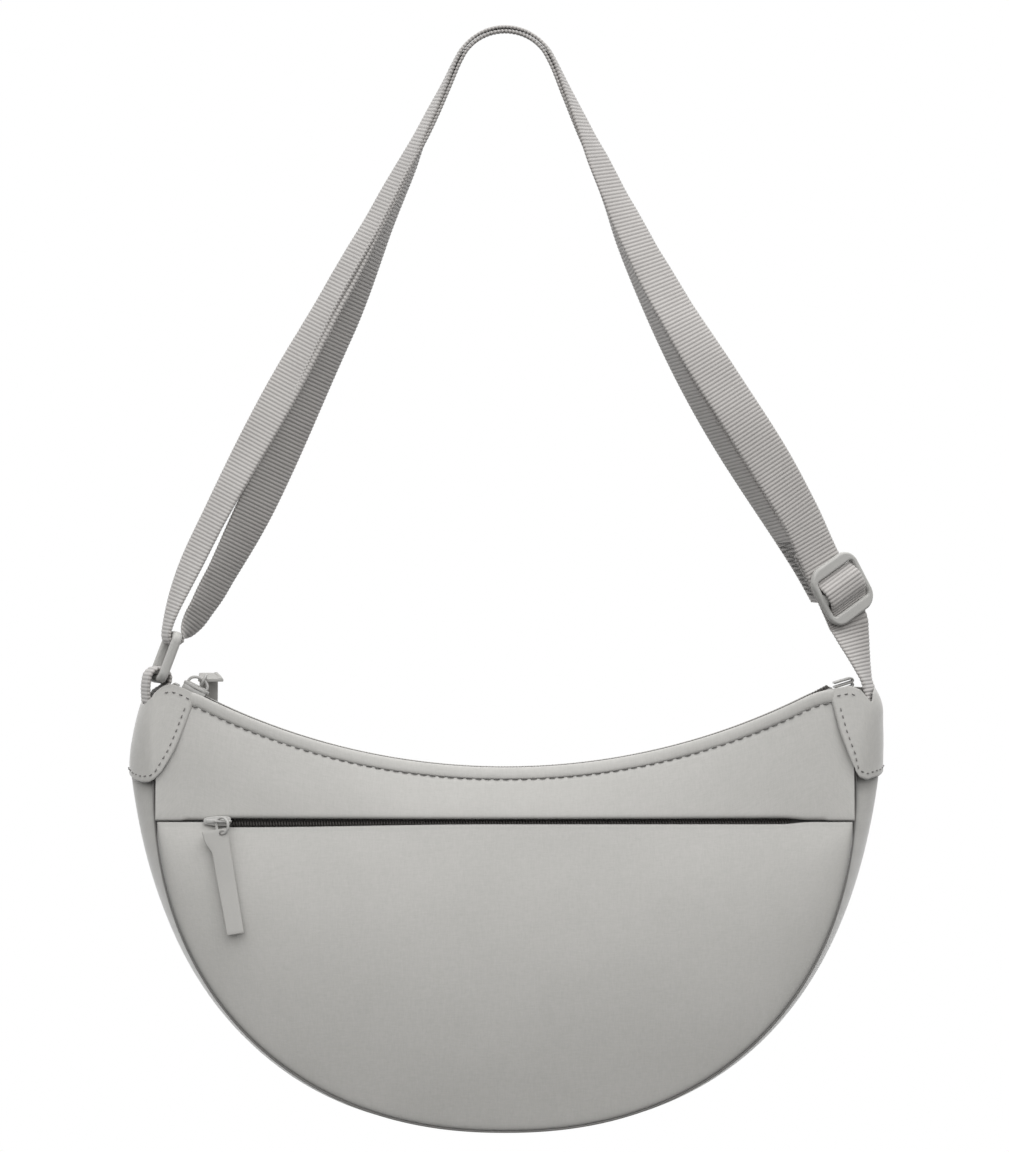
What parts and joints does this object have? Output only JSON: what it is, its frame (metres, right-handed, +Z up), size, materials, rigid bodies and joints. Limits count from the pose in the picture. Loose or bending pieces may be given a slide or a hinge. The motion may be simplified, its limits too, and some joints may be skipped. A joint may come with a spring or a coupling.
{
  "type": "half moon bag",
  "caption": "Half moon shoulder bag with curved zip mouth, front zip pocket, end caps and a doubled webbing strap with ring and length slider.",
  "frame": {"origin": "inside of the strap's arch, where the bag hangs", "axes": "+Z up along the hanging bag, -Y towards its front with the pocket, +X to the right seen from the front"},
  "size_m": [0.3208, 0.0712, 0.4694],
  "materials": {
    "shell_fabric": "satin twill nylon with a soft sheen",
    "lining_fabric": "thin plain lining",
    "webbing": "ribbed webbing",
    "hardware": "moulded matte plastic",
    "zip_tape": "woven zip tape",
    "zip_coil": "nylon coil",
    "zip_metal": "satin paint",
    "pull_tab": "matte moulded tab"
  },
  "bodies": {
    "strap": {"strap_webbing": "webbing", "ring_loop": "webbing"},
    "bag": {"front_yoke": "shell_fabric", "front_panel": "shell_fabric", "back_panel": "shell_fabric", "front_top_hem": "shell_fabric", "back_top_hem": "shell_fabric", "gusset": "shell_fabric", "gusset_lining": "lining_fabric", "front_lining": "lining_fabric", "back_lining": "lining_fabric", "pocket_wall": "lining_fabric", "left_end_cap": "shell_fabric", "right_end_cap": "shell_fabric", "left_strap_seat": "webbing", "right_strap_seat": "webbing", "left_zip_end_tab": "shell_fabric", "right_zip_end_tab": "shell_fabric", "main_zip_front_tape": "zip_tape", "main_zip_back_tape": "zip_tape", "main_zip_front_coil": "zip_coil", "main_zip_back_coil": "zip_coil", "pocket_zip_upper_tape": "zip_tape", "pocket_zip_lower_tape": "zip_tape", "pocket_zip_upper_coil": "zip_coil", "pocket_zip_lower_coil": "zip_coil"},
    "ring": {"strap_ring": "hardware"},
    "length_slider": {"strap_slider": "hardware", "strap_weave": "webbing", "strap_sewn_end": "webbing"},
    "main_slider": {"main_zip_slider": "zip_metal"},
    "main_pull": {"main_pull_ring": "zip_metal", "main_pull_tab": "pull_tab"},
    "pocket_slider": {"pocket_zip_slider": "zip_metal"},
    "pocket_ring": {"pocket_pull_ring": "zip_metal"},
    "pocket_tab": {"pocket_pull_tab": "pull_tab"}
  },
  "joints": [
    {"name": "bag_swing", "type": "hinge", "parent": "strap", "child": "bag", "pos_m": [0, 0, -0.27455], "axis": [1, 0, 0], "range_deg": [-45, 45]},
    {"name": "ring_swing", "type": "hinge", "parent": "strap", "child": "ring", "pos_m": [-0.1411, 0.00072, -0.25644], "axis": [-0.2079, 0.9781, 0], "range_deg": [-4, 4]},
    {"name": "strap_length", "type": "slide", "parent": "strap", "child": "length_slider", "axis": [-0.4592, -0.2079, 0.8637], "range_m": [0, 0.012]},
    {"name": "main_zip", "type": "hinge", "parent": "bag", "child": "main_slider", "pos_m": [0, 0, -0.0255], "axis": [0, -1, 0], "range_deg": [0, 54.87], "deforming": ["main_zip_front_tape", "main_zip_back_tape", "main_zip_front_coil", "main_zip_back_coil"]},
    {"name": "main_pull_lift", "type": "hinge", "parent": "main_slider", "child": "main_pull", "pos_m": [-0.12828, 0, -0.2754], "axis": [0.8875, 0, -0.4608], "range_deg": [0, 60]},
    {"name": "pocket_zip", "type": "slide", "parent": "bag", "child": "pocket_slider", "axis": [1, 0, 0], "range_m": [0, 0.23], "deforming": ["pocket_zip_upper_tape", "pocket_zip_lower_tape", "pocket_zip_upper_coil", "pocket_zip_lower_coil"]},
    {"name": "pocket_pull_lift", "type": "hinge", "parent": "pocket_slider", "child": "pocket_ring", "pos_m": [-0.1191, -0.0255, -0.3345], "axis": [-1, 0, 0], "range_deg": [0, 110]},
    {"name": "pocket_tab_turn", "type": "hinge", "parent": "pocket_ring", "child": "pocket_tab", "pos_m": [-0.1191, -0.02642, -0.33962], "axis": [0, 0.9843, -0.1766], "range_deg": [-20, 20]}
  ]
}
